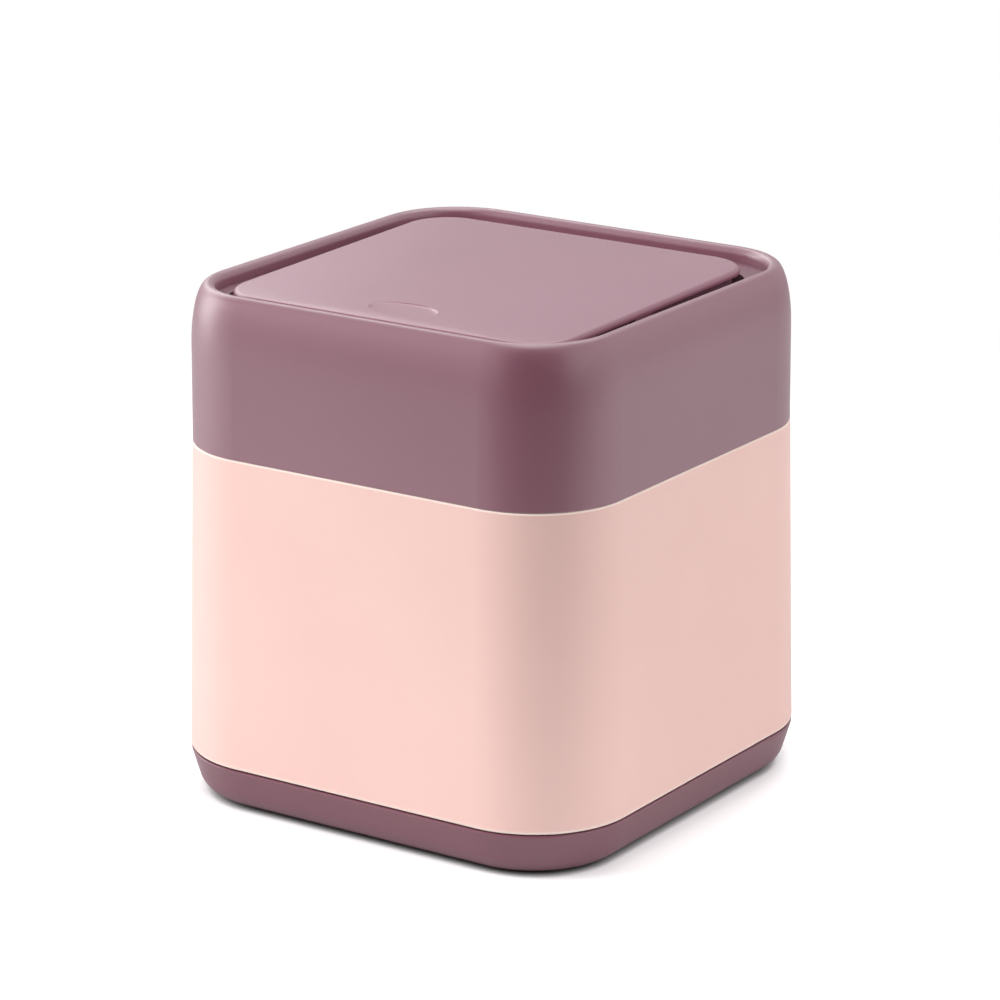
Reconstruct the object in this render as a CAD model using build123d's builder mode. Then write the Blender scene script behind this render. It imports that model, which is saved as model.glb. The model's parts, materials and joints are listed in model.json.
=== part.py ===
from build123d import *
from math import cos, radians, sin, sqrt, tan
import os

os.makedirs("parts", exist_ok=True)

# Push-lid storage bin: square casing, lift-out bucket, lift-off head with a swing flap.
# Millimetres, +Z up, origin on the ground under the middle. The push edge faces -Y.

# Outer form, from the ground up
foot_drop = 1.2
base_height = 17.6
seam_groove = 0.4
body_height = 124.8
head_height = 62.5
body_top_half = 95.0
body_top_radius = 38.4
body_draft = 1.33
base_draft = 16.5
base_edge_radius = 9.6
seam_edge_radius = 0.6
sleeve_edge_radius = 0.9
sleeve_foot_radius = 1.6

# Casing walls and its inner ledge
sleeve_wall = 2.5
ledge_drop = 10.0
ledge_width = 3.2
ledge_thickness = 2.2
base_wall = 3.0
base_floor = 3.0
tongue_height = 5.0
tongue_root = 5.0
tongue_wall = 2.2
fit_gap = 0.3

# Posts and screws of the base, over the feet
post_inset = 22.5
post_radius = 5.0
post_top_gap = 2.0
web_width = 4.0
pad_radius = 7.0
pad_rise = 3.5
foot_count = 4
foot_angle = 45.0
foot_radius = 8.0
foot_thickness = 3.0
foot_edge_radius = 0.5
foot_gap = 0.15
screw_radius = 1.75
screw_head_radius = 3.2
screw_head_height = 2.4
screw_slot_width = 1.2
screw_slot_length = 3.4
screw_slot_depth = 1.2
screw_gap = 0.05
base_screw_length = 14.0

# Lift-out bucket and bag ring
flange_thickness = 2.0
flange_gap = 0.5
bucket_wall = 1.8
bucket_floor = 2.2
bucket_draft = 2.5
bucket_ledge_gap = 0.7
bucket_ground = 26.0
bucket_edge_radius = 9.0
finger_width = 46.0
finger_depth = 3.0
ring_thickness = 1.8
ring_lip_height = 6.0
ring_lip_wall = 1.8
ring_gap = 0.5

# Head shell profile
head_inset = 0.2
head_wall = 2.6
head_draft_rise = 38.0
head_draft_inset = 0.3
shoulder_width = 6.5
crest_land = 0.6
dish_width = 2.6
dish_height = 3.0
rim_wall = 2.2
deck_drop = 5.7
spigot_depth = 4.0
spigot_rise = 8.0
spigot_wall = 2.3
spigot_gap = 0.4
seal_gap = 0.3

# Liner with the throat
throat_side_ledge = 6.3
throat_front_ledge = 4.6
throat_back_ledge = 12.8
throat_radius = 20.0
collar_wall = 2.2
collar_height = 16.8
deck_thickness = 2.2
deck_overlap = 0.5
liner_flange = 2.4
liner_flange_gap = 0.6
liner_post_radius = 3.4
liner_post_inset = 6.8
liner_post_spread = 48.0
liner_post_height = 10.5
liner_web_sink = 0.4
liner_screw_length = 9.0

# Flap and its pivot
side_gap = 2.0
front_gap = 2.3
back_gap = 1.5
flap_tilt = 0.9
flap_thickness = 3.0
flap_edge_radius = 2.2
flap_under_radius = 0.45
flap_recess = 1.4
pivot_y = -12.0
pivot_drop = 13.8
pan_inset = 3.0
pan_depth = 6.0
pan_wall = 1.8
mark_length = 30.0
mark_width = 17.0
mark_depth = 0.6
mark_from_front = 17.0
lug_width = 12.0
lug_thickness = 5.0
lug_inset = 0.4
lug_foot = 5.0
pin_radius = 3.0
pin_gap = 0.03
pin_head_radius = 4.4
pin_head_height = 1.5
pin_chamfer = 0.3
bush_wall = 1.5
bush_flange_radius = 6.5
running_gap = 0.08
end_play = 0.5
ear_thickness = 4.0
ear_half_width = 10.0
flap_post_radius = 3.2
flap_post_inset = 14.0
flap_screw_length = 5.0

# Counterweight and closed stops
weight_end_gap = 2.8
weight_width = 16.0
weight_thickness = 3.8
weight_from_back = 10.0
weight_screw_spread = 40.0
stop_spread = 45.0
stop_width = 14.0
stop_length = 9.0
stop_ledge = 2.2
stop_pad = 2.5
stop_corner_radius = 0.6

# Levels
base_bottom = foot_drop
base_top = base_bottom + base_height
sleeve_bottom = base_top + seam_groove
seam = sleeve_bottom + body_height
crest = seam + head_height
ledge_top = seam - ledge_drop
deck_top = crest - deck_drop
liner_bottom = deck_top - collar_height
floor_top = base_bottom + base_floor
pad_top = floor_top + pad_rise

# Rounded squares share one corner centre, so a size gives its own corner radius
corner_centre = body_top_half - body_top_radius
body_flare = body_height * tan(radians(body_draft))
body_foot_half = body_top_half + body_flare
sleeve_inner_foot = body_foot_half - sleeve_wall
sleeve_inner_top = body_top_half - sleeve_wall


def square(half):
    """A rounded square about the axis."""
    RectangleRounded(2 * half, 2 * half, half - corner_centre)


def square_ring(outer_half, inner_half):
    """A rounded square frame about the axis."""
    square(outer_half)
    RectangleRounded(2 * inner_half, 2 * inner_half, inner_half - corner_centre, mode=Mode.SUBTRACT)


def save(part, name):
    """Label a finished piece and write its file."""
    part.label = name
    export_step(part, "parts/" + name + ".step")


# Base tray: tapered walls, rounded underside, tongue for the sleeve, pads over the feet
tongue_outer = sleeve_inner_foot - fit_gap
web_notch = web_width + 2 * fit_gap
corner_reach = sqrt(2) * corner_centre + body_foot_half - corner_centre
web_end = corner_reach - sleeve_wall / 2
post_reach = corner_reach - post_inset
web_length = web_end - post_reach

with BuildPart() as base_hollow:
    with BuildSketch(Plane.XY.offset(base_top)):
        square(body_foot_half - base_wall)
    extrude(amount=base_floor - base_height, taper=base_draft)
    fillet(base_hollow.faces().sort_by(Axis.Z)[0].edges(), base_edge_radius - base_wall)

with BuildPart() as base_tray:
    with BuildSketch(Plane.XY.offset(base_top)):
        square(body_foot_half)
    extrude(amount=-base_height, taper=base_draft)
    fillet(base_tray.faces().sort_by(Axis.Z)[0].edges(), base_edge_radius)
    fillet(base_tray.faces().sort_by(Axis.Z)[-1].edges(), seam_edge_radius)
    add(base_hollow.part, mode=Mode.SUBTRACT)
    with BuildSketch(Plane.XY.offset(base_top - tongue_root)):
        square_ring(tongue_outer, tongue_outer - tongue_wall)
    extrude(amount=tongue_root + tongue_height)
    with BuildSketch(Plane.XY.offset(base_top)):
        with PolarLocations(post_reach + web_length / 2, foot_count, start_angle=foot_angle):
            Rectangle(web_length + base_wall, web_notch)
    extrude(amount=tongue_height, mode=Mode.SUBTRACT)
    with BuildSketch(Plane.XY.offset(floor_top - base_floor / 2)):
        with PolarLocations(post_reach, foot_count, start_angle=foot_angle):
            Circle(pad_radius)
    extrude(amount=pad_rise + base_floor / 2)
    with BuildSketch(Plane.XY.offset(base_bottom)):
        with PolarLocations(post_reach, foot_count, start_angle=foot_angle):
            Circle(foot_radius + foot_gap)
    extrude(amount=foot_thickness - foot_drop, mode=Mode.SUBTRACT)
    with BuildSketch(Plane.XY.offset(foot_thickness)):
        with PolarLocations(post_reach, foot_count, start_angle=foot_angle):
            Circle(screw_head_radius + fit_gap)
    extrude(amount=screw_head_height + screw_gap, mode=Mode.SUBTRACT)
    with BuildSketch(Plane.XY.offset(foot_thickness)):
        with PolarLocations(post_reach, foot_count, start_angle=foot_angle):
            Circle(screw_radius + fit_gap)
    extrude(amount=pad_top, mode=Mode.SUBTRACT)
save(base_tray.part, "base_tray")

# Feet: four soft discs in the recesses of the base
with BuildPart() as feet:
    with BuildSketch():
        with PolarLocations(post_reach, foot_count, start_angle=foot_angle):
            Circle(foot_radius)
    extrude(amount=foot_thickness)
    fillet(feet.faces().filter_by(Axis.Z).group_by(Axis.Z)[0].edges(), foot_edge_radius)
save(feet.part, "feet")

# Base screws: pan heads above the feet, shanks up in the posts of the sleeve
with BuildPart() as base_screws:
    with BuildSketch(Plane.XY.offset(foot_thickness + screw_gap)):
        with PolarLocations(post_reach, foot_count, start_angle=foot_angle):
            Circle(screw_head_radius)
    extrude(amount=screw_head_height - screw_gap)
    with BuildSketch(Plane.XY.offset(foot_thickness + screw_head_height)):
        with PolarLocations(post_reach, foot_count, start_angle=foot_angle):
            Circle(screw_radius)
    extrude(amount=base_screw_length)
    with BuildSketch(Plane.XY.offset(foot_thickness + screw_gap)):
        with PolarLocations(post_reach, foot_count, start_angle=foot_angle):
            Rectangle(screw_slot_length, screw_slot_width)
            Rectangle(screw_slot_width, screw_slot_length)
    extrude(amount=screw_slot_depth, mode=Mode.SUBTRACT)
save(base_screws.part, "base_screws")

# Body sleeve: drafted wall open at both ends, ledge for the bucket, posts for the base screws
post_top = bucket_ground - post_top_gap

with BuildPart() as body_sleeve:
    with BuildSketch(Plane.XY.offset(sleeve_bottom)):
        square(body_foot_half)
    extrude(amount=body_height, taper=body_draft)
    with BuildSketch(Plane.XY.offset(sleeve_bottom)):
        square(sleeve_inner_foot)
    extrude(amount=body_height, taper=body_draft, mode=Mode.SUBTRACT)
    fillet(body_sleeve.faces().sort_by(Axis.Z)[-1].edges(), sleeve_edge_radius)
    fillet(body_sleeve.faces().sort_by(Axis.Z)[0].outer_wire().edges(), sleeve_foot_radius)
    with BuildSketch(Plane.XY.offset(ledge_top - ledge_thickness)):
        square_ring(sleeve_inner_top + sleeve_wall / 2, sleeve_inner_top - ledge_width)
    extrude(amount=ledge_thickness)
    with BuildSketch(Plane.XY.offset(sleeve_bottom)):
        with PolarLocations(post_reach + web_length / 2, foot_count, start_angle=foot_angle):
            Rectangle(web_length, web_width)
    extrude(amount=post_top - sleeve_bottom)
    with BuildSketch(Plane.XY.offset(pad_top)):
        with PolarLocations(post_reach, foot_count, start_angle=foot_angle):
            Circle(post_radius)
    extrude(amount=post_top - pad_top)
    with BuildSketch(Plane.XY.offset(pad_top)):
        with PolarLocations(post_reach, foot_count, start_angle=foot_angle):
            Circle(screw_radius + screw_gap)
    extrude(amount=post_top - pad_top, mode=Mode.SUBTRACT)
save(body_sleeve.part, "body_sleeve")

# Inner bucket: hangs by its flange on the ledge of the sleeve
flange_half = sleeve_inner_top - flange_gap
bucket_half = sleeve_inner_top - ledge_width - bucket_ledge_gap
flange_top = ledge_top + flange_thickness
bucket_height = flange_top - bucket_ground

with BuildPart() as bucket_hollow:
    with BuildSketch(Plane.XY.offset(flange_top)):
        square(bucket_half - bucket_wall)
    extrude(amount=-(bucket_height - bucket_floor), taper=bucket_draft)
    fillet(bucket_hollow.faces().sort_by(Axis.Z)[0].edges(), bucket_edge_radius - bucket_wall)

with BuildPart() as inner_bucket:
    with BuildSketch(Plane.XY.offset(flange_top)):
        square(bucket_half)
    extrude(amount=-bucket_height, taper=bucket_draft)
    fillet(inner_bucket.faces().sort_by(Axis.Z)[0].edges(), bucket_edge_radius)
    with BuildSketch(Plane.XY.offset(ledge_top)):
        square(flange_half)
        with Locations((flange_half, 0), (-flange_half, 0)):
            Rectangle(2 * finger_depth, finger_width, mode=Mode.SUBTRACT)
    extrude(amount=flange_thickness)
    add(bucket_hollow.part, mode=Mode.SUBTRACT)
save(inner_bucket.part, "inner_bucket")

# Bag ring: lies on the flange and holds a bag against the bucket's mouth
ring_outer = flange_half - finger_depth - ring_gap
ring_lip_outer = bucket_half - bucket_wall - ring_gap
ring_inner = ring_lip_outer - ring_lip_wall

with BuildPart() as bag_ring:
    with BuildSketch(Plane.XY.offset(flange_top)):
        square_ring(ring_outer, ring_inner)
    extrude(amount=ring_thickness)
    with BuildSketch(Plane.XY.offset(flange_top - ring_lip_height)):
        square_ring(ring_lip_outer, ring_inner)
    extrude(amount=ring_lip_height)
save(bag_ring.part, "bag_ring")

# Head shell: one wall profile carried round the rounded square
head_half = body_top_half - head_inset
shoulder_half = head_half - head_draft_inset
shoulder_base = seam + head_draft_rise
shoulder_height = head_height - head_draft_rise
land_outer = shoulder_half - shoulder_width
land_inner = land_outer - crest_land
rim_inner = land_inner - dish_width
dish_base = crest - dish_height
spigot_outer = sleeve_inner_top - spigot_gap
spigot_bottom = seam - spigot_depth
liner_post_x = shoulder_half - liner_post_inset
liner_post_bottom = liner_bottom + liner_flange
web_reach = shoulder_half - head_wall + liner_web_sink - liner_post_x

with BuildPart() as head_shell:
    with BuildLine(Plane.XY.offset(seam)) as rim_path:
        Line((body_top_half, 0), (body_top_half, corner_centre))
        CenterArc((corner_centre, corner_centre), body_top_radius, 0, 90)
        Line((corner_centre, body_top_half), (0, body_top_half))
    with BuildSketch(Plane.XZ):
        with BuildLine():
            Line((head_half, seam), (shoulder_half, shoulder_base))
            EllipticalCenterArc((land_outer, shoulder_base), shoulder_width, shoulder_height, 0)
            Line((land_outer, crest), (land_inner, crest))
            EllipticalCenterArc((land_inner, dish_base), dish_width, dish_height, 90)
            Line((rim_inner, dish_base), (rim_inner, deck_top))
            Line((rim_inner, deck_top), (rim_inner + rim_wall, deck_top))
            Line((rim_inner + rim_wall, deck_top), (rim_inner + rim_wall, dish_base))
            EllipticalCenterArc((land_inner, dish_base), dish_width - rim_wall, dish_height - rim_wall, 90)
            Line((land_inner, crest - rim_wall), (land_outer, crest - rim_wall))
            EllipticalCenterArc(
                (land_outer, shoulder_base), shoulder_width - head_wall, shoulder_height - rim_wall, 0
            )
            Line((shoulder_half - head_wall, shoulder_base), (head_half - head_wall, seam))
            Line((head_half - head_wall, seam), (head_half, seam))
        make_face()
    sweep(path=rim_path.wire())
    mirror(about=Plane.YZ)
    mirror(about=Plane.XZ)
    fillet(head_shell.faces().filter_by(Axis.Z).sort_by(Axis.Z)[0].outer_wire().edges(), seam_edge_radius)
    with BuildSketch(Plane.XY.offset(spigot_bottom)):
        square_ring(spigot_outer, spigot_outer - spigot_wall)
    extrude(amount=spigot_depth + spigot_rise)
    with BuildSketch(Plane.XY.offset(seam + fit_gap)):
        square_ring(head_half - head_wall / 2, spigot_outer - spigot_wall)
    extrude(amount=spigot_rise - fit_gap)
    with BuildSketch(Plane.XY.offset(liner_post_bottom)):
        with GridLocations(2 * liner_post_x, 2 * liner_post_spread, 2, 2):
            Circle(liner_post_radius)
    extrude(amount=liner_post_height)
    with BuildSketch(Plane.XY.offset(liner_post_bottom)):
        with GridLocations(2 * liner_post_x + web_reach, 2 * liner_post_spread, 2, 2):
            Rectangle(web_reach, web_width)
    extrude(amount=liner_post_height)
    with BuildSketch(Plane.XY.offset(liner_post_bottom)):
        with GridLocations(2 * liner_post_x, 2 * liner_post_spread, 2, 2):
            Circle(screw_radius + screw_gap)
    extrude(amount=liner_screw_length, mode=Mode.SUBTRACT)
save(head_shell.part, "head_shell")

# Head seal: soft ring under the spigot, closing on the bucket's flange
seal_height = spigot_bottom - flange_top - seal_gap

with BuildPart() as head_seal:
    with BuildSketch(Plane.XY.offset(spigot_bottom - seal_height)):
        square_ring(spigot_outer, spigot_outer - spigot_wall)
    extrude(amount=seal_height)
save(head_seal.part, "head_seal")

# Head liner: deck, throat collar, screw flange, pivot ears and stop ledges
throat_half = rim_inner - throat_side_ledge
throat_front = rim_inner - throat_front_ledge
throat_back = rim_inner - throat_back_ledge
throat_length = throat_front + throat_back
throat_y = (throat_back - throat_front) / 2
collar_half = throat_half + collar_wall
flap_top = crest - flap_recess
pivot_z = flap_top - pivot_drop
bush_radius = pin_radius + running_gap + bush_wall
ear_outer = collar_half + ear_thickness
liner_flange_half = shoulder_half - head_wall - liner_flange_gap
pan_bottom_rise = pivot_drop - flap_thickness - pan_depth
stop_y = throat_back - stop_length / 2
stop_pad_top = pivot_z + pan_bottom_rise + (stop_y - pivot_y) * tan(radians(flap_tilt)) - fit_gap
stop_top = stop_pad_top - stop_pad

with BuildPart() as head_liner:
    with BuildSketch(Plane.XY.offset(deck_top - deck_thickness)):
        square(rim_inner + rim_wall + deck_overlap)
    extrude(amount=deck_thickness)
    with BuildSketch(Plane.XY.offset(liner_bottom)):
        with Locations((0, throat_y)):
            RectangleRounded(2 * collar_half, throat_length + 2 * collar_wall, throat_radius + collar_wall)
    extrude(amount=collar_height)
    with BuildSketch(Plane.XY.offset(liner_bottom)):
        square(liner_flange_half)
    extrude(amount=liner_flange)
    with BuildSketch(Plane.XY.offset(liner_bottom)):
        with Locations((0, pivot_y)):
            Rectangle(2 * ear_outer, 2 * ear_half_width)
    extrude(amount=collar_height)
    with BuildSketch(Plane.XY.offset(liner_bottom)):
        with Locations((0, throat_y)):
            RectangleRounded(2 * throat_half, throat_length, throat_radius)
    extrude(amount=collar_height, mode=Mode.SUBTRACT)
    with BuildSketch(Plane.XY.offset(stop_top - stop_ledge)):
        with Locations((-stop_spread, stop_y), (stop_spread, stop_y)):
            Rectangle(stop_width, stop_length + collar_wall)
    extrude(amount=stop_ledge)
    with BuildSketch(Plane.YZ.offset(-ear_outer)):
        with Locations((pivot_y, pivot_z)):
            Circle(bush_radius + screw_gap)
    extrude(amount=2 * ear_outer, mode=Mode.SUBTRACT)
    with BuildSketch(Plane.XY.offset(liner_bottom)):
        with GridLocations(2 * liner_post_x, 2 * liner_post_spread, 2, 2):
            Circle(screw_radius + fit_gap)
    extrude(amount=liner_flange, mode=Mode.SUBTRACT)
save(head_liner.part, "head_liner")

# Liner screws: up through the flange into the posts of the shell
with BuildPart() as liner_screws:
    with BuildSketch(Plane.XY.offset(liner_bottom - screw_head_height)):
        with GridLocations(2 * liner_post_x, 2 * liner_post_spread, 2, 2):
            Circle(screw_head_radius)
    extrude(amount=screw_head_height)
    with BuildSketch(Plane.XY.offset(liner_bottom)):
        with GridLocations(2 * liner_post_x, 2 * liner_post_spread, 2, 2):
            Circle(screw_radius)
    extrude(amount=liner_screw_length)
    with BuildSketch(Plane.XY.offset(liner_bottom - screw_head_height)):
        with GridLocations(2 * liner_post_x, 2 * liner_post_spread, 2, 2):
            Rectangle(screw_slot_length, screw_slot_width)
            Rectangle(screw_slot_width, screw_slot_length)
    extrude(amount=screw_slot_depth, mode=Mode.SUBTRACT)
save(liner_screws.part, "liner_screws")

# Closed stops: two soft pads on the ledges, under the back of the flap
for side, stop_name in ((-1, "stop_pad_left"), (1, "stop_pad_right")):
    with BuildPart() as stop_piece:
        with BuildSketch(Plane.XY.offset(stop_top)):
            with Locations((side * stop_spread, stop_y - fit_gap)):
                Rectangle(stop_width, stop_length - fit_gap)
        extrude(amount=stop_pad)
        fillet(stop_piece.edges().filter_by(Axis.Z), stop_corner_radius)
    save(stop_piece.part, stop_name)

# Pivot bushes and pins, one pair a side
flange_face = throat_half - side_gap - lug_inset + end_play
lug_face = throat_half - side_gap - lug_inset
lug_back = lug_face - lug_thickness

for side, side_name in ((-1, "left"), (1, "right")):
    with BuildPart() as bush:
        with BuildSketch(Plane.YZ.offset(side * throat_half)):
            with Locations((pivot_y, pivot_z)):
                Circle(bush_flange_radius)
        extrude(amount=side * (flange_face - throat_half))
        with BuildSketch(Plane.YZ.offset(side * throat_half)):
            with Locations((pivot_y, pivot_z)):
                Circle(bush_radius)
        extrude(amount=side * (ear_outer - throat_half))
        with BuildSketch(Plane.YZ.offset(side * flange_face)):
            with Locations((pivot_y, pivot_z)):
                Circle(pin_radius + running_gap)
        extrude(amount=side * (ear_outer - flange_face), mode=Mode.SUBTRACT)
    save(bush.part, "bush_" + side_name)
    with BuildPart() as pin:
        with BuildSketch(Plane.YZ.offset(side * lug_back)):
            with Locations((pivot_y, pivot_z)):
                Circle(pin_radius)
        extrude(amount=side * (ear_outer - fit_gap - lug_back))
        with BuildSketch(Plane.YZ.offset(side * lug_back)):
            with Locations((pivot_y, pivot_z)):
                Circle(pin_head_radius)
        extrude(amount=-side * pin_head_height)
        chamfer(pin.faces().sort_by(Axis.X)[0 if side < 0 else -1].edges(), pin_chamfer)
    save(pin.part, "pivot_pin_" + side_name)

# Flap pieces are drawn in the closed flap's own plane, through the pivot
flap_plane = Plane(
    origin=(0, pivot_y, pivot_z),
    x_dir=(1, 0, 0),
    z_dir=(0, -sin(radians(flap_tilt)), cos(radians(flap_tilt))),
)
flap_half = throat_half - side_gap
flap_front = throat_front - front_gap + pivot_y
flap_back = throat_back - back_gap - pivot_y
flap_length = flap_front + flap_back
flap_y = (flap_back - flap_front) / 2
flap_radius = throat_radius - side_gap
cover_under = pivot_drop - flap_thickness
pan_floor_top = cover_under - pan_depth + pan_wall
pan_bottom = cover_under - pan_depth
pan_half = flap_half - pan_inset
pan_length = flap_length - 2 * pan_inset
pan_radius = flap_radius - pan_inset
flap_post_x = flap_half - flap_post_inset
flap_post_y = flap_length / 2 - flap_post_inset
weight_length = 2 * (flap_post_x - flap_post_radius - weight_end_gap)
weight_y = flap_back - pan_inset - weight_from_back - weight_width / 2

with BuildPart() as flap_cover:
    with BuildSketch(flap_plane.offset(cover_under)):
        with Locations((0, flap_y)):
            RectangleRounded(2 * flap_half, flap_length, flap_radius)
    extrude(amount=flap_thickness)
    fillet(flap_cover.faces().sort_by(Axis.Z)[-1].edges(), flap_edge_radius)
    fillet(flap_cover.faces().sort_by(Axis.Z)[0].edges(), flap_under_radius)
    with BuildSketch(flap_plane.offset(pivot_drop)):
        with Locations((0, mark_from_front - flap_front)):
            Ellipse(mark_length / 2, mark_width / 2)
    extrude(amount=-mark_depth, mode=Mode.SUBTRACT)
    with BuildSketch(flap_plane.offset(cover_under)):
        with Locations((0, flap_y)):
            with GridLocations(2 * flap_post_x, 2 * flap_post_y, 2, 2):
                Circle(flap_post_radius)
    extrude(amount=pan_floor_top - cover_under)
    with BuildSketch(flap_plane.offset(pan_floor_top)):
        with Locations((0, flap_y)):
            with GridLocations(2 * flap_post_x, 2 * flap_post_y, 2, 2):
                Circle(screw_radius + screw_gap)
    extrude(amount=flap_screw_length - pan_wall, mode=Mode.SUBTRACT)
save(flap_cover.part, "flap_cover")

with BuildPart() as flap_pan:
    with BuildSketch(flap_plane.offset(pan_bottom)):
        with Locations((0, flap_y)):
            RectangleRounded(2 * pan_half, pan_length, pan_radius)
    extrude(amount=pan_depth)
    with BuildSketch(flap_plane.offset(pan_floor_top)):
        with Locations((0, flap_y)):
            RectangleRounded(2 * (pan_half - pan_wall), pan_length - 2 * pan_wall, pan_radius - pan_wall)
    extrude(amount=pan_depth, mode=Mode.SUBTRACT)
    with BuildSketch(flap_plane.offset(-lug_foot)):
        with Locations((-lug_face + lug_thickness / 2, 0), (lug_face - lug_thickness / 2, 0)):
            Rectangle(lug_thickness, lug_width)
    extrude(amount=lug_foot + cover_under)
    with BuildSketch(Plane.YZ.offset(-lug_face)):
        with Locations((pivot_y, pivot_z)):
            Circle(pin_radius + pin_gap)
    extrude(amount=2 * lug_face, mode=Mode.SUBTRACT)
    with BuildSketch(flap_plane.offset(pan_bottom)):
        with Locations((0, flap_y)):
            with GridLocations(2 * flap_post_x, 2 * flap_post_y, 2, 2):
                Circle(screw_radius + fit_gap)
        with Locations((-weight_screw_spread, weight_y), (weight_screw_spread, weight_y)):
            Circle(screw_radius + fit_gap)
    extrude(amount=pan_wall, mode=Mode.SUBTRACT)
save(flap_pan.part, "flap_pan")

# Flap screws hold the pan up to the cover
with BuildPart() as flap_screws:
    with BuildSketch(flap_plane.offset(pan_bottom - screw_head_height)):
        with Locations((0, flap_y)):
            with GridLocations(2 * flap_post_x, 2 * flap_post_y, 2, 2):
                Circle(screw_head_radius)
    extrude(amount=screw_head_height)
    with BuildSketch(flap_plane.offset(pan_bottom)):
        with Locations((0, flap_y)):
            with GridLocations(2 * flap_post_x, 2 * flap_post_y, 2, 2):
                Circle(screw_radius)
    extrude(amount=flap_screw_length)
save(flap_screws.part, "flap_screws")

# Counterweight: steel bar on the pan's floor, behind the pivot
with BuildPart() as counterweight:
    with BuildSketch(flap_plane.offset(pan_floor_top)):
        with Locations((0, weight_y)):
            Rectangle(weight_length, weight_width)
        with Locations((-weight_screw_spread, weight_y), (weight_screw_spread, weight_y)):
            Circle(screw_radius + screw_gap, mode=Mode.SUBTRACT)
    extrude(amount=weight_thickness)
save(counterweight.part, "counterweight")

# Weight screws: up through the pan's floor into the bar
with BuildPart() as weight_screws:
    with BuildSketch(flap_plane.offset(pan_bottom - screw_head_height)):
        with Locations((-weight_screw_spread, weight_y), (weight_screw_spread, weight_y)):
            Circle(screw_head_radius)
    extrude(amount=screw_head_height)
    with BuildSketch(flap_plane.offset(pan_bottom)):
        with Locations((-weight_screw_spread, weight_y), (weight_screw_spread, weight_y)):
            Circle(screw_radius)
    extrude(amount=pan_wall + weight_thickness - fit_gap)
save(weight_screws.part, "weight_screws")
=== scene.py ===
import bmesh
import bpy
import json
from math import cos, radians, sin
from mathutils import Matrix, Vector


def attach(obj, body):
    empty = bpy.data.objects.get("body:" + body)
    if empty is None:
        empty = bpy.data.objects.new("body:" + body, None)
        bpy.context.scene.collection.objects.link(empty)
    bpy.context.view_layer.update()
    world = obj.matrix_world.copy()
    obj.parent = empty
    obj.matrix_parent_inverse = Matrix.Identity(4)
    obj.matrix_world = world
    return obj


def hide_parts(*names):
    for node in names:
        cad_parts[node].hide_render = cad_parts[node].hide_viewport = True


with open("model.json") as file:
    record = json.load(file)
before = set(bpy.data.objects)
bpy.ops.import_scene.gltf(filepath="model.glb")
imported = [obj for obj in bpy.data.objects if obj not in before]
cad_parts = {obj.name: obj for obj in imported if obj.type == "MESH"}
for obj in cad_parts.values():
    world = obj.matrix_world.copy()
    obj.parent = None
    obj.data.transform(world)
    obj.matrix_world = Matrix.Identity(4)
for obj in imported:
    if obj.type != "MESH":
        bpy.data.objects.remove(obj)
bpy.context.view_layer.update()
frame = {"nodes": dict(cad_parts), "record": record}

nodes = frame["nodes"]
print("frame loaded:", len(nodes), "nodes")


# the camera stands where the photograph was taken from
cameraSetup = {
    "azimuth": 33.9,       # degrees round from the push edge's side
    "elevation": 16.96,
    "distance": 1.7001,
    "aimHeight": 0.11387,
    "aimRight": 0.002356,
    "lens": 155.62,
    "sensor": 36.0,
    "farEnd": 20.0,
}


def makeCamera(setup):
    az, el = radians(setup["azimuth"]), radians(setup["elevation"])
    right = Vector((cos(az), sin(az), 0))
    back = Vector((sin(az) * cos(el), -cos(az) * cos(el), sin(el)))
    up = back.cross(right)
    aim = Vector((0, 0, setup["aimHeight"])) + right * setup["aimRight"]
    data = bpy.data.cameras.new("photoCamera")
    data.lens = setup["lens"]
    data.sensor_width = setup["sensor"]
    data.sensor_fit = "HORIZONTAL"
    data.clip_end = setup["farEnd"]
    cam = bpy.data.objects.new("photoCamera", data)
    bpy.context.scene.collection.objects.link(cam)
    turn = Matrix((right, up, back)).transposed()
    cam.matrix_world = Matrix.Translation(aim + back * setup["distance"]) @ turn.to_4x4()
    bpy.context.scene.camera = cam


makeCamera(cameraSetup)
print("camera placed")


# materials read Object coordinates, in metres
noiseSpan = (0.3, 0.7)     # nearly all of a noise lies between these
flowDetail = 3
grainDetail = 2
lineDetail = 4
lineRoughness = 0.6


def newMaterial(name):
    mat = bpy.data.materials.new(name)
    mat.use_nodes = True
    tree = mat.node_tree
    return mat, tree, tree.nodes["Principled BSDF"]


def srgb(r, g, b):
    return tuple(((c / 255 + 0.055) / 1.055) ** 2.4 if c > 10 else c / 3294.6 for c in (r, g, b)) + (1.0,)


def noiseNode(tree, coords, scale, detail, rough=0.5):
    tex = tree.nodes.new("ShaderNodeTexNoise")
    tex.inputs["Scale"].default_value = scale
    tex.inputs["Detail"].default_value = detail
    tex.inputs["Roughness"].default_value = rough
    tree.links.new(coords, tex.inputs["Vector"])
    return tex.outputs["Fac"]


def rangeNode(tree, value, low, high):
    node = tree.nodes.new("ShaderNodeMapRange")
    node.inputs["From Min"].default_value = noiseSpan[0]
    node.inputs["From Max"].default_value = noiseSpan[1]
    node.inputs["To Min"].default_value = low
    node.inputs["To Max"].default_value = high
    tree.links.new(value, node.inputs["Value"])
    return node.outputs["Result"]


def tintNode(tree, noise, look):
    tint = tree.nodes.new("ShaderNodeMix")
    tint.data_type = "RGBA"
    tint.inputs["A"].default_value = look["colour"]
    tint.inputs["B"].default_value = look["colourHigh"]
    tree.links.new(rangeNode(tree, noise, 0.0, 1.0), tint.inputs["Factor"])
    return tint.outputs["Result"]


def bumpNode(tree, height, strength, depth):
    bump = tree.nodes.new("ShaderNodeBump")
    bump.inputs["Strength"].default_value = strength
    bump.inputs["Distance"].default_value = depth
    tree.links.new(height, bump.inputs["Height"])
    return bump.outputs["Normal"]


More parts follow.
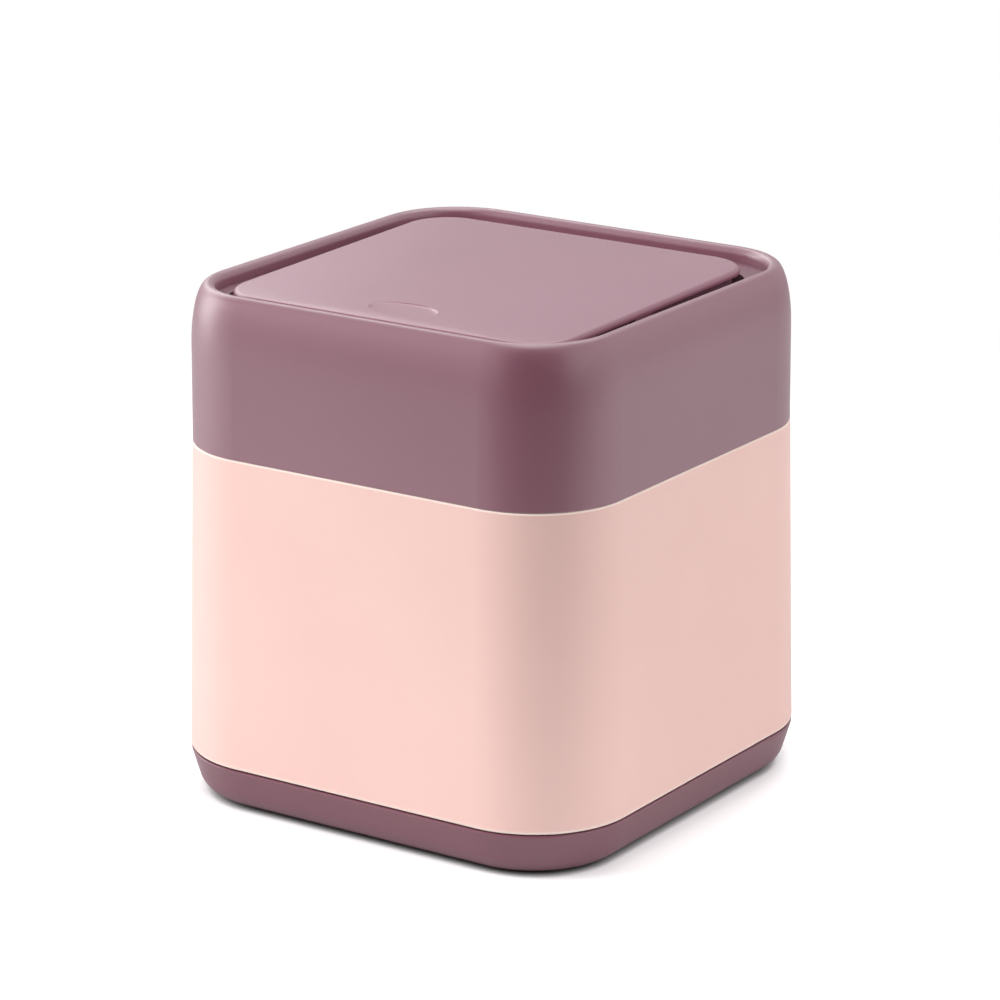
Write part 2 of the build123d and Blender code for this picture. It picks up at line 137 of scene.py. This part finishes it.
def plastic(name, look):
    mat, tree, shader = newMaterial(name)
    coords = tree.nodes.new("ShaderNodeTexCoord").outputs["Object"]
    flow = noiseNode(tree, coords, look["flowScale"], flowDetail)
    grain = noiseNode(tree, coords, look["grainScale"], grainDetail)
    colour = tintNode(tree, flow, look)
    if "paintedRimHighlights" in look:                         # painted highlights: lighter lines along the rims, set by height
        split = tree.nodes.new("ShaderNodeSeparateXYZ")
        tree.links.new(coords, split.inputs[0])
        for rim, wall in look["paintedRimHighlights"]:
            band = tree.nodes.new("ShaderNodeMapRange")
            band.interpolation_type = "SMOOTHSTEP"
            band.inputs["From Min"].default_value = wall
            band.inputs["From Max"].default_value = rim
            tree.links.new(split.outputs["Z"], band.inputs["Value"])
            paintedHighlight = tree.nodes.new("ShaderNodeMix")
            paintedHighlight.data_type = "RGBA"
            paintedHighlight.inputs["B"].default_value = look["rimHighlightColour"]
            tree.links.new(band.outputs["Result"], paintedHighlight.inputs["Factor"])
            tree.links.new(colour, paintedHighlight.inputs["A"])
            colour = paintedHighlight.outputs["Result"]
    tree.links.new(colour, shader.inputs["Base Color"])
    tree.links.new(rangeNode(tree, grain, look["roughLow"], look["roughHigh"]), shader.inputs["Roughness"])
    tree.links.new(bumpNode(tree, grain, look["grainStrength"], look["grainDepth"]), shader.inputs["Normal"])
    shader.inputs["IOR"].default_value = look.get("ior", 1.5)
    return mat


# colours and indices of refraction are tuned to the photograph, and the plastics' own index is near 1.5
mauveLook = {
    "colour": srgb(119, 74, 88), "colourHigh": srgb(123, 78, 92), "flowScale": 14, "grainScale": 3200,
    "roughLow": 0.36, "roughHigh": 0.44, "grainStrength": 0.12, "grainDepth": 0.00004, "ior": 2.06,
}
# a lighter copy of the head's mauve for the flap cover: painted light, the same plastic
litFlapLook = {
    "colour": srgb(125, 75, 92), "colourHigh": srgb(129, 79, 96), "flowScale": 14, "grainScale": 3200,
    "roughLow": 0.36, "roughHigh": 0.44, "grainStrength": 0.12, "grainDepth": 0.00004, "ior": 1.98,
}
# a darker copy of the head's mauve for the base tray: painted shade, the same plastic
shadedBaseLook = {
    "colour": srgb(112, 68, 81), "colourHigh": srgb(116, 72, 85), "flowScale": 14, "grainScale": 3200,
    "roughLow": 0.38, "roughHigh": 0.46, "grainStrength": 0.12, "grainDepth": 0.00004, "ior": 1.69,
}
pinkLook = {
    "colour": srgb(232, 194, 186), "colourHigh": srgb(235, 198, 190), "flowScale": 14, "grainScale": 3200,
    "roughLow": 0.42, "roughHigh": 0.5, "grainStrength": 0.12, "grainDepth": 0.00004, "ior": 1.38,
    # painted highlights along the sleeve's lower and upper rims, set by height
    "paintedRimHighlights": ((0.0196, 0.0212), (0.144, 0.1431)), "rimHighlightColour": srgb(255, 240, 230),
}
innerLook = {
    "colour": srgb(122, 84, 97), "colourHigh": srgb(126, 88, 100), "flowScale": 18, "grainScale": 1500,
    "roughLow": 0.5, "roughHigh": 0.6, "grainStrength": 0.25, "grainDepth": 0.00006,
}
bucketLook = {
    "colour": srgb(214, 208, 204), "colourHigh": srgb(220, 214, 210), "flowScale": 16, "grainScale": 1200,
    "roughLow": 0.5, "roughHigh": 0.6, "grainStrength": 0.2, "grainDepth": 0.00006,
}
pivotLook = {
    "colour": srgb(228, 225, 216), "colourHigh": srgb(234, 231, 222), "flowScale": 60, "grainScale": 2500,
    "roughLow": 0.3, "roughHigh": 0.38, "grainStrength": 0.1, "grainDepth": 0.00004,
}
rubberLook = {
    "colour": srgb(58, 54, 57), "colourHigh": srgb(70, 66, 68), "flowScale": 90, "grainScale": 2600,
    "roughLow": 0.7, "roughHigh": 0.85, "grainStrength": 0.4, "grainDepth": 0.00008,
}
materials = {
    "mauve_shell": plastic("mauveSatin", mauveLook),
    "mauve_shaded_base": plastic("mauveShadedBase", shadedBaseLook),
    "mauve_lit_flap": plastic("mauveLitFlap", litFlapLook),
    "pink_shell": plastic("pinkSatin", pinkLook),
    "mauve_inner": plastic("mauveMatt", innerLook),
    "bucket_grey": plastic("greyMatt", bucketLook),
    "pivot_plastic": plastic("slipPlastic", pivotLook),
    "soft_rubber": plastic("softRubber", rubberLook),
}


def brushedSteel(name, look):
    mat, tree, shader = newMaterial(name)
    coords = tree.nodes.new("ShaderNodeTexCoord").outputs["Object"]
    stretch = tree.nodes.new("ShaderNodeMapping")
    stretch.inputs["Scale"].default_value = look["stretch"]
    tree.links.new(coords, stretch.inputs["Vector"])
    lines = noiseNode(tree, stretch.outputs["Vector"], look["lineScale"], lineDetail, lineRoughness)
    tree.links.new(tintNode(tree, lines, look), shader.inputs["Base Color"])
    tree.links.new(rangeNode(tree, lines, look["roughLow"], look["roughHigh"]), shader.inputs["Roughness"])
    tree.links.new(bumpNode(tree, lines, look["lineStrength"], look["lineDepth"]), shader.inputs["Normal"])
    shader.inputs["Metallic"].default_value = 1.0
    return mat


screwLook = {
    "colour": srgb(188, 188, 190), "colourHigh": srgb(206, 206, 207),
    "stretch": (1, 1, 0.2), "lineScale": 2600, "lineStrength": 0.2, "lineDepth": 0.00003,
    "roughLow": 0.25, "roughHigh": 0.38,
}
weightLook = {
    "colour": srgb(170, 170, 172), "colourHigh": srgb(196, 196, 197),
    "stretch": (0.03, 1, 1), "lineScale": 3000, "lineStrength": 0.2, "lineDepth": 0.00003,
    "roughLow": 0.3, "roughHigh": 0.45,
}
materials["screw_steel"] = brushedSteel("zincSteel", screwLook)
materials["weight_steel"] = brushedSteel("barSteel", weightLook)

slotOf = {part["node"]: part["material_slot"] for part in frame["record"]["subparts"]}
for name, node in nodes.items():
    node.data.materials.clear()
    # the base tray takes the darker copy of the mauve, which carries painted shade
    node.data.materials.append(materials["mauve_shaded_base" if name == "base_tray" else slotOf[name]])
bodyOf = {part: body for body, parts in frame["record"]["behaviour"]["bodies"].items() for part in parts}
print("materials set on", len(nodes), "nodes")


# modelling helpers: selections are made in code, by place or by normal
samePlace = 1e-6           # points nearer than this are at one level
flatFace = 0.9             # a face whose normal has more than this of up or down in it lies flat
levelFace = 0.99           # the same, for a face with a rounded edge beside it
wallFace = 0.2             # a face whose normal has less than this stands upright


def clearSelection():
    if bpy.context.object and bpy.context.object.mode == "EDIT":
        bpy.ops.object.mode_set(mode="OBJECT")
    bpy.ops.object.select_all(action="DESELECT")


def takeObject(piece):
    clearSelection()
    piece.select_set(True)
    bpy.context.view_layer.objects.active = piece


def takeUp(name):
    # the primitive just added becomes a piece with its place in its mesh
    piece = bpy.context.object
    piece.name = piece.data.name = name
    bpy.ops.object.transform_apply(location=True, rotation=True, scale=True)
    bpy.ops.object.mode_set(mode="EDIT")
    return piece


def pick(piece, kind, test):
    bpy.ops.mesh.select_mode(type=kind)
    bpy.ops.mesh.select_all(action="DESELECT")
    shape = bmesh.from_edit_mesh(piece.data)
    if kind == "EDGE":
        chosen = [e for e in shape.edges if test((e.verts[0].co + e.verts[1].co) / 2)]
    else:
        chosen = [f for f in shape.faces if test(f.calc_center_median(), f.normal)]
    for item in chosen:
        item.select_set(True)
    bmesh.update_edit_mesh(piece.data)


def pickEdges(piece, test):
    bpy.ops.mesh.select_mode(type="EDGE")
    bpy.ops.mesh.select_all(action="DESELECT")
    shape = bmesh.from_edit_mesh(piece.data)
    for edge in shape.edges:
        if test(edge):
            edge.select_set(True)
    bmesh.update_edit_mesh(piece.data)


def isRim(edge, level):
    flat = all(abs(v.co.z - level) < samePlace for v in edge.verts)
    return flat and any(abs(face.normal.z) < wallFace for face in edge.link_faces)


def pull(x, y, z):
    bpy.ops.mesh.extrude_region_move(TRANSFORM_OT_translate={"value": (x, y, z)})


def widen(x, y, centre=(0, 0, 0)):
    bpy.ops.transform.resize(value=(x, y, 1), center_override=centre)


def roundOff(radius, steps, kind="EDGES"):
    bpy.ops.mesh.bevel(offset=radius, offset_type="OFFSET", segments=steps, profile=0.5, affect=kind)


def smoothOff(piece, angle=35):
    # welds the mesh, turns its faces outwards and smooths all but its sharp edges
    bpy.ops.object.mode_set(mode="EDIT")
    bpy.ops.mesh.select_all(action="SELECT")
    bpy.ops.mesh.remove_doubles(threshold=2 * samePlace)
    bpy.ops.mesh.normals_make_consistent(inside=False)
    bpy.ops.object.mode_set(mode="OBJECT")
    bpy.ops.object.shade_smooth_by_angle(angle=radians(angle))


def softenEdges(piece, width, segments, angle=50):
    bpy.ops.object.mode_set(mode="OBJECT")
    bevel = piece.modifiers.new("softEdges", "BEVEL")
    bevel.width = width
    bevel.segments = segments
    bevel.limit_method = "ANGLE"
    bevel.angle_limit = radians(angle)
    bpy.ops.object.modifier_apply(modifier="softEdges")


def cutAway(piece, cutter):
    takeObject(piece)
    cut = piece.modifiers.new("cut", "BOOLEAN")
    cut.operation = "DIFFERENCE"
    cut.solver = "EXACT"
    cut.object = cutter
    bpy.ops.object.modifier_apply(modifier="cut")
    bpy.data.objects.remove(cutter)


def copyAt(piece, name, place):
    takeObject(piece)
    bpy.ops.object.duplicate(linked=False)
    twin = bpy.context.object
    twin.name = twin.data.name = name
    twin.matrix_world = place
    bpy.ops.object.transform_apply(location=True, rotation=True, scale=True)
    return twin


def fourPlaces(x, y, level, middle=0):
    return [(sideX * x, middle + sideY * y, level) for sideX in (-1, 1) for sideY in (-1, 1)]


def fitIn(piece, body, node, slotName, finish=None):
    # gives a piece its material and its body, and hides the node that it stands in for
    piece.data.materials.clear()
    piece.data.materials.append(materials[finish or slotName])
    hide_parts(node)
    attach(piece, body)


# the closed flap lies in a plane tipped about its pivot, front edge low
pivot = (0, -0.012, 0.1913)
flapTilt = 0.9
flapPlane = Matrix.Translation(pivot) @ Matrix.Rotation(radians(flapTilt), 4, "X")

flapCover = {
    "half": 0.0765, "front": -0.0659, "back": 0.0825, "cornerRadius": 0.018, "cornerSteps": 15,
    "top": 0.0138, "thickness": 0.003, "edgeRadius": 0.0022, "edgeSteps": 7,
    "underRadius": 0.00045, "underSteps": 3, "shading": 30,
    "dishCentre": -0.0489, "dishLength": 0.030, "dishWidth": 0.017,
    # how far out each ring of the dish lies, as a share of its edge, and how deep
    "dishSteps": (
        (0.985, 0.00013), (0.965, 0.00028), (0.93, 0.00041), (0.85, 0.0005), (0.62, 0.00057), (0.3, 0.0006)),
    "postX": 0.0625, "postY": 0.0602, "postRadius": 0.0032, "postFoot": 0.0066, "postSink": 0.0003,
    "postHole": 0.0018, "holeDepth": 0.0032, "postEdge": 0.0003,
}
coverMiddle = (flapCover["back"] + flapCover["front"]) / 2


def makeCoverShell(size):
    top, under = size["top"], size["top"] - size["thickness"]
    length = size["back"] - size["front"]
    middle = (0, coverMiddle, top)
    dish = (0, size["dishCentre"], top)
    clearSelection()
    bpy.ops.mesh.primitive_circle_add(vertices=64, radius=size["dishLength"] / 2, location=dish)
    piece = takeUp("flapCover")
    bpy.ops.mesh.select_all(action="SELECT")
    widen(1, size["dishWidth"] / size["dishLength"], dish)
    last, depthNow = 1.0, 0.0
    for reach, depth in size["dishSteps"]:          # the push dish, ring by ring
        pull(0, 0, depthNow - depth)
        widen(reach / last, reach / last, dish)
        last, depthNow = reach, depth
    pull(0, 0, 0)
    bpy.ops.mesh.merge(type="COLLAPSE")
    bpy.ops.mesh.select_all(action="DESELECT")
    bpy.ops.mesh.primitive_plane_add(size=1, location=middle)
    widen(2 * size["half"], length, middle)
    roundOff(size["cornerRadius"], size["cornerSteps"], "VERTICES")
    bpy.ops.mesh.delete(type="ONLY_FACE")
    pick(piece, "EDGE", lambda at: abs(at.z - top) < samePlace)
    bpy.ops.mesh.bridge_edge_loops()
    pickEdges(piece, lambda edge: edge.is_boundary)
    pull(0, 0, -size["thickness"])
    bpy.ops.mesh.edge_face_add()
    pickEdges(piece, lambda edge: isRim(edge, top))
    roundOff(size["edgeRadius"], size["edgeSteps"])
    pickEdges(piece, lambda edge: isRim(edge, under))
    roundOff(size["underRadius"], size["underSteps"])
    smoothOff(piece, size["shading"])
    return piece


def makeCoverPost(size):
    height = size["top"] - size["thickness"] + size["postSink"] - size["postFoot"]
    bpy.ops.object.select_all(action="DESELECT")
    bpy.ops.mesh.primitive_cylinder_add(
        vertices=32, radius=size["postRadius"], depth=height, location=(0, 0, size["postFoot"] + height / 2))
    post = takeUp("coverPost")
    pick(post, "FACE", lambda at, normal: normal.z < -flatFace)
    bpy.ops.mesh.inset(thickness=size["postRadius"] - size["postHole"])
    pull(0, 0, size["holeDepth"])
    softenEdges(post, size["postEdge"], 2)
    smoothOff(post)
    return post


def makeFlapCover(size):
    piece = makeCoverShell(size)
    post = makeCoverPost(size)
    places = fourPlaces(size["postX"], size["postY"], 0, coverMiddle)
    posts = [copyAt(post, "coverPost", Matrix.Translation(place)) for place in places]
    bpy.data.objects.remove(post)
    clearSelection()
    for part in posts + [piece]:
        part.select_set(True)
    bpy.context.view_layer.objects.active = piece
    bpy.ops.object.join()
    piece.matrix_world = flapPlane
    bpy.ops.object.transform_apply(location=True, rotation=True, scale=True)
    # the flap takes the lighter copy of the mauve, which carries painted light
    fitIn(piece, bodyOf["flap_cover"], "flap_cover", "mauve_shell", "mauve_lit_flap")


makeFlapCover(flapCover)
print("flap cover made")

screwShape = {
    "headRadius": 0.0032, "headHeight": 0.0024, "dome": 0.001, "domeSteps": 4, "shading": 40,
    "shankRadius": 0.00175, "coreRadius": 0.0014,
    "pitch": 0.0011, "neck": 0.0008, "runOut": 0.0004, "tipShare": 0.55,
    "slotLength": 0.0034, "slotWidth": 0.0009, "slotDepth": 0.0013, "slotFoot": (0.5, 0.8),
}
cornerPlace = 0.06986      # feet and base screws sit this far out along both axes
panScrewLevel = 0.0024     # where the heads of the flap's screws start, in the flap's plane
# node: shank length, place of each head, plane
screwSets = {
    "base_screws": (0.01395, fourPlaces(cornerPlace, cornerPlace, 0.00305), None),
    "liner_screws": (0.009, fourPlaces(0.0877, 0.048, 0.1816), None),
    "flap_screws": (
        0.005, fourPlaces(flapCover["postX"], flapCover["postY"], panScrewLevel, coverMiddle), flapPlane),
    "weight_screws": (0.0053, [(x * 0.040, 0.0615, panScrewLevel) for x in (-1, 1)], flapPlane),
}


def makeScrew(size, length):
    clearSelection()
    bpy.ops.mesh.primitive_cylinder_add(
        vertices=32, radius=size["headRadius"], depth=size["headHeight"],
        location=(0, 0, size["headHeight"] / 2))
    screw = takeUp("screw")
    pick(screw, "EDGE", lambda at: at.z < samePlace)
    roundOff(size["dome"], size["domeSteps"])
    pick(screw, "FACE", lambda at, normal: normal.z > flatFace)
    bpy.ops.mesh.inset(thickness=size["headRadius"] - size["shankRadius"])
    height, tip = size["headHeight"], size["headHeight"] + length
    pull(0, 0, size["neck"])
    height += size["neck"]
    inward = size["coreRadius"] / size["shankRadius"]
    while height + size["pitch"] < tip - size["runOut"]:    # thread: in to the core, out to the crest
        for share in (inward, 1 / inward):
            pull(0, 0, size["pitch"] / 2)
            widen(share, share)
        height += size["pitch"]
    pull(0, 0, tip - height)
    widen(size["tipShare"], size["tipShare"])
    for turn in (0, 90):
        bpy.ops.object.mode_set(mode="OBJECT")
        clearSelection()
        slot = (size["slotLength"], size["slotWidth"], 2 * size["slotDepth"])
        bpy.ops.mesh.primitive_cube_add(size=1, scale=slot)
        bar = takeUp("slotBar")
        pick(bar, "FACE", lambda at, normal: normal.z > flatFace)
        widen(*size["slotFoot"])
        bpy.ops.object.mode_set(mode="OBJECT")
        bar.rotation_euler.z = radians(turn)
        cutAway(screw, bar)
    smoothOff(screw, size["shading"])
    return screw


for node, (length, places, plane) in screwSets.items():
    screw = makeScrew(screwShape, length)
    for count, place in enumerate(places, 1):
        where = (plane or Matrix.Identity(4)) @ Matrix.Translation(place)
        twin = copyAt(screw, node.split("_")[0] + "Screw" + str(count), where)
        fitIn(twin, bodyOf[node], node, "screw_steel")
    bpy.data.objects.remove(screw)
print("screws made")

footShape = {
    "radius": 0.008, "height": 0.003, "edge": 0.0006, "edgeSteps": 4,
    "grooveAt": 0.0018, "grooveWidth": 0.0008, "grooveDepth": 0.0005, "grooveEdge": 0.00015,
}


def makeFoot(size):
    clearSelection()
    bpy.ops.mesh.primitive_cylinder_add(
        vertices=64, radius=size["radius"], depth=size["height"], location=(0, 0, size["height"] / 2))
    foot = takeUp("foot")
    pick(foot, "EDGE", lambda at: at.z < samePlace)
    roundOff(size["edge"], size["edgeSteps"])
    pick(foot, "FACE", lambda at, normal: normal.z < -levelFace)
    bpy.ops.mesh.inset(thickness=size["grooveAt"])
    bpy.ops.mesh.inset(thickness=size["grooveWidth"])
    outer = size["radius"] - size["edge"] - size["grooveAt"]
    inner = outer - size["grooveWidth"]
    pick(foot, "FACE", lambda at, normal: normal.z < -levelFace and inner < at.xy.length < outer)
    pull(0, 0, size["grooveDepth"])
    softenEdges(foot, size["grooveEdge"], 2)
    smoothOff(foot)
    return foot


foot = makeFoot(footShape)
for count, (x, y) in enumerate(((-1, -1), (1, -1), (1, 1), (-1, 1)), 1):
    where = Matrix.Translation((x * cornerPlace, y * cornerPlace, 0))
    fitIn(copyAt(foot, "foot" + str(count), where), bodyOf["feet"], "feet", "soft_rubber")
bpy.data.objects.remove(foot)
print("feet made")

bagRing = {
    "half": 0.0885, "corner": 0.0319, "level": 0.136, "thickness": 0.0018,
    "flange": 0.0022, "lip": 0.0018, "lipDepth": 0.006, "edge": 0.0004, "edgeSteps": 3,
}
headSeal = {
    "half": 0.0921, "corner": 0.0355, "level": 0.1363, "height": 0.0037,
    "wall": 0.0023, "bead": 0.0011, "beadSteps": 5,
}
squareSteps = 20
squareShading = 40


def squareBand(name, size, widths, height):
    # an upright band round a rounded square, as wide as the insets together
    clearSelection()
    bpy.ops.mesh.primitive_plane_add(size=2 * size["half"], location=(0, 0, size["level"]))
    piece = takeUp(name)
    bpy.ops.mesh.select_all(action="SELECT")
    roundOff(size["corner"], squareSteps, "VERTICES")
    for width in widths:
        bpy.ops.mesh.inset(thickness=width)
    bpy.ops.mesh.delete(type="FACE")
    bpy.ops.mesh.select_all(action="SELECT")
    pull(0, 0, height)
    bpy.ops.mesh.select_all(action="SELECT")
    bpy.ops.mesh.normals_make_consistent(inside=False)
    return piece


def reachOf(at, straight):
    # distance out to the rounded square through this point
    x, y = abs(at.x), abs(at.y)
    if min(x, y) > straight:
        return Vector((x - straight, y - straight)).length + straight
    return max(x, y)


def makeBagRing(size):
    ring = squareBand("bagRing", size, (size["flange"], size["lip"]), size["thickness"])
    lipEdge = size["half"] - size["flange"]
    straight = size["half"] - size["corner"]
    pick(ring, "FACE", lambda at, normal: normal.z < -flatFace and reachOf(at, straight) < lipEdge)
    pull(0, 0, -size["lipDepth"])
    softenEdges(ring, size["edge"], size["edgeSteps"])
    smoothOff(ring, squareShading)
    fitIn(ring, bodyOf["bag_ring"], "bag_ring", slotOf["bag_ring"])


def makeHeadSeal(size):
    seal = squareBand("headSeal", size, (size["wall"],), size["height"])
    pickEdges(seal, lambda edge: isRim(edge, size["level"]))
    roundOff(size["bead"], size["beadSteps"])
    smoothOff(seal, squareShading)
    fitIn(seal, bodyOf["head_seal"], "head_seal", slotOf["head_seal"])


makeBagRing(bagRing)
makeHeadSeal(headSeal)
print("bag ring and seal made")


# floor and soft studio light
floorLook = {
    "size": 6.0,
    "white": 0.8,
    "seenWhite": 1.3,        # what the camera sees, so the paper is white and its shadow stays
    "plainFrom": (0.35, 0.75),  # past this the camera sees plain white
    "paintedContactShadow": 0.0032,       # how far out the painted contact shadow, a dark line under the base, reaches
    "contactShadowSamples": 12,
    "sweepEnd": (0.30, 0.50),   # where the paper goes dark in front, for light but not for the camera
    "dark": 0.02,
}
worldLook = {"diffuse": 0.1, "gloss": 0.83}
lampAim = 0.1              # the height that every lamp is aimed at
# compass angle from the push edge's side, height angle, distance, width, height, power,
# whether it lights the object, whether reflections show it
lampSetup = {
    "leftFrontSoftbox": (-50, 25, 1.8, 1.1, 0.9, 29.0, True, False),
    "frontFill": (34, 35, 2.0, 1.1, 0.9, 17.0, True, False),
    "frontRightFill": (75, 25, 1.8, 1.1, 0.9, 9.6, True, False),
    "rightBackSoftbox": (130, 20, 1.8, 1.1, 0.9, 9.8, True, False),
    "backFill": (200, 30, 1.8, 1.3, 0.8, 6.0, True, False),
    "backLeftCard": (246, 32, 1.8, 1.3, 0.8, 10.8, False, True),
    "backHighSoftbox": (200, 58, 1.8, 1.3, 0.8, 8.0, True, True),
    "topSoftbox": (-10, 86, 1.9, 1.0, 1.0, 7.5, True, True),
    "leftCard": (-78, 10, 1.8, 0.9, 1.1, 12.0, False, True),
}
# a dark card, unseen by the camera and without a shadow, that darkens what mirrors it
flagSetup = {"place": (0.60, -0.89, 0.75), "width": 1.5, "height": 1.5, "turn": -56.1, "shade": 0.01}


def makeFloor(look):
    bpy.ops.mesh.primitive_plane_add(size=look["size"], location=(0, 0, 0))
    floor = bpy.context.object
    floor.name = "studioFloor"
    mat, tree, shader = newMaterial("studioWhite")
    tree.nodes.remove(shader)
    new, link = tree.nodes.new, tree.links.new
    path = new("ShaderNodeLightPath")
    paper = new("ShaderNodeBsdfDiffuse")
    tone = new("ShaderNodeMix")
    tone.data_type = "RGBA"
    tone.inputs["A"].default_value = (look["white"],) * 3 + (1,)
    tone.inputs["B"].default_value = (look["seenWhite"],) * 3 + (1,)
    link(path.outputs["Is Camera Ray"], tone.inputs["Factor"])
    # painted contact shadow: an occlusion node darkens the floor's colour close to the base
    paintedContactShadow = new("ShaderNodeAmbientOcclusion")
    paintedContactShadow.samples = look["contactShadowSamples"]
    paintedContactShadow.inputs["Distance"].default_value = look["paintedContactShadow"]
    link(tone.outputs["Result"], paintedContactShadow.inputs["Color"])
    link(paintedContactShadow.outputs["Color"], paper.inputs["Color"])
    dark = new("ShaderNodeBsdfDiffuse")
    dark.inputs["Color"].default_value = (look["dark"],) * 3 + (1,)
    coords = new("ShaderNodeTexCoord")
    turn = new("ShaderNodeMapping")
    turn.vector_type = "TEXTURE"
    turn.inputs["Rotation"].default_value = (0, 0, radians(flagSetup["turn"]))
    link(coords.outputs["Object"], turn.inputs["Vector"])
    split = new("ShaderNodeSeparateXYZ")
    link(turn.outputs["Vector"], split.inputs[0])
    fade = new("ShaderNodeMapRange")
    fade.interpolation_type = "SMOOTHSTEP"
    fade.inputs["From Min"].default_value = look["sweepEnd"][0]
    fade.inputs["From Max"].default_value = look["sweepEnd"][1]
    link(split.outputs["X"], fade.inputs["Value"])
    unseen = new("ShaderNodeMath")
    unseen.operation = "SUBTRACT"
    unseen.inputs[0].default_value = 1.0
    link(path.outputs["Is Camera Ray"], unseen.inputs[1])
    share = new("ShaderNodeMath")
    share.operation = "MULTIPLY"
    link(fade.outputs["Result"], share.inputs[0])
    link(unseen.outputs[0], share.inputs[1])
    both = new("ShaderNodeMixShader")
    link(share.outputs[0], both.inputs["Fac"])
    link(paper.outputs[0], both.inputs[1])
    link(dark.outputs[0], both.inputs[2])
    reach = new("ShaderNodeVectorMath")
    reach.operation = "LENGTH"
    link(coords.outputs["Object"], reach.inputs[0])
    far = new("ShaderNodeMapRange")
    far.interpolation_type = "SMOOTHSTEP"
    far.inputs["From Min"].default_value = look["plainFrom"][0]
    far.inputs["From Max"].default_value = look["plainFrom"][1]
    link(reach.outputs["Value"], far.inputs["Value"])
    seenFar = new("ShaderNodeMath")
    seenFar.operation = "MULTIPLY"
    link(far.outputs["Result"], seenFar.inputs[0])
    link(path.outputs["Is Camera Ray"], seenFar.inputs[1])
    white = new("ShaderNodeEmission")
    white.inputs["Strength"].default_value = 1.0
    sweep = new("ShaderNodeMixShader")
    link(seenFar.outputs[0], sweep.inputs["Fac"])
    link(both.outputs[0], sweep.inputs[1])
    link(white.outputs[0], sweep.inputs[2])
    link(sweep.outputs[0], tree.nodes["Material Output"].inputs["Surface"])
    floor.data.materials.append(mat)


def makeFlag(look):
    bpy.ops.mesh.primitive_plane_add(size=1, location=(0, 0, 0))
    flag = bpy.context.object
    flag.name = "darkFlag"
    face = Vector(look["place"]) * Vector((1, 1, 0))
    turn = face.to_track_quat("Z", "Y").to_matrix().to_4x4()
    spread = Matrix.Diagonal((look["width"], look["height"], 1, 1))
    flag.matrix_world = Matrix.Translation(look["place"]) @ turn @ spread
    mat, tree, shader = newMaterial("flagBlack")
    shader.inputs["Base Color"].default_value = (look["shade"],) * 3 + (1,)
    shader.inputs["Roughness"].default_value = 1.0
    flag.data.materials.append(mat)
    flag.visible_camera = False
    flag.visible_shadow = False


def makeWorld(look):
    world = bpy.data.worlds.new("studioWorld")
    bpy.context.scene.world = world
    world.use_nodes = True
    tree = world.node_tree
    sky = tree.nodes["Background"]
    path = tree.nodes.new("ShaderNodeLightPath")
    glossy = tree.nodes.new("ShaderNodeMapRange")
    glossy.inputs["To Min"].default_value = look["diffuse"]
    glossy.inputs["To Max"].default_value = look["gloss"]
    tree.links.new(path.outputs["Is Glossy Ray"], glossy.inputs["Value"])
    seen = tree.nodes.new("ShaderNodeMix")
    seen.inputs["B"].default_value = 1.0
    tree.links.new(path.outputs["Is Camera Ray"], seen.inputs["Factor"])
    tree.links.new(glossy.outputs["Result"], seen.inputs["A"])
    tree.links.new(seen.outputs["Result"], sky.inputs["Strength"])
    sky.inputs["Color"].default_value = (1, 1, 1, 1)


def makeLamp(name, compass, height, distance, sizeX, sizeY, power, lights, inGloss):
    data = bpy.data.lights.new(name, "AREA")
    data.shape = "RECTANGLE"
    data.size, data.size_y = sizeX, sizeY
    data.energy = power
    lamp = bpy.data.objects.new(name, data)
    bpy.context.scene.collection.objects.link(lamp)
    az, el = radians(compass), radians(height)
    away = Vector((sin(az) * cos(el), -cos(az) * cos(el), sin(el)))
    place = away * distance + Vector((0, 0, lampAim))
    lamp.matrix_world = Matrix.Translation(place) @ away.to_track_quat("Z", "Y").to_matrix().to_4x4()
    lamp.visible_diffuse = lights
    lamp.visible_glossy = inGloss


makeFloor(floorLook)
makeFlag(flagSetup)
makeWorld(worldLook)
for lampName, values in lampSetup.items():
    makeLamp(lampName, *values)
bpy.context.scene.view_settings.view_transform = "Standard"
print("floor and lamps set")
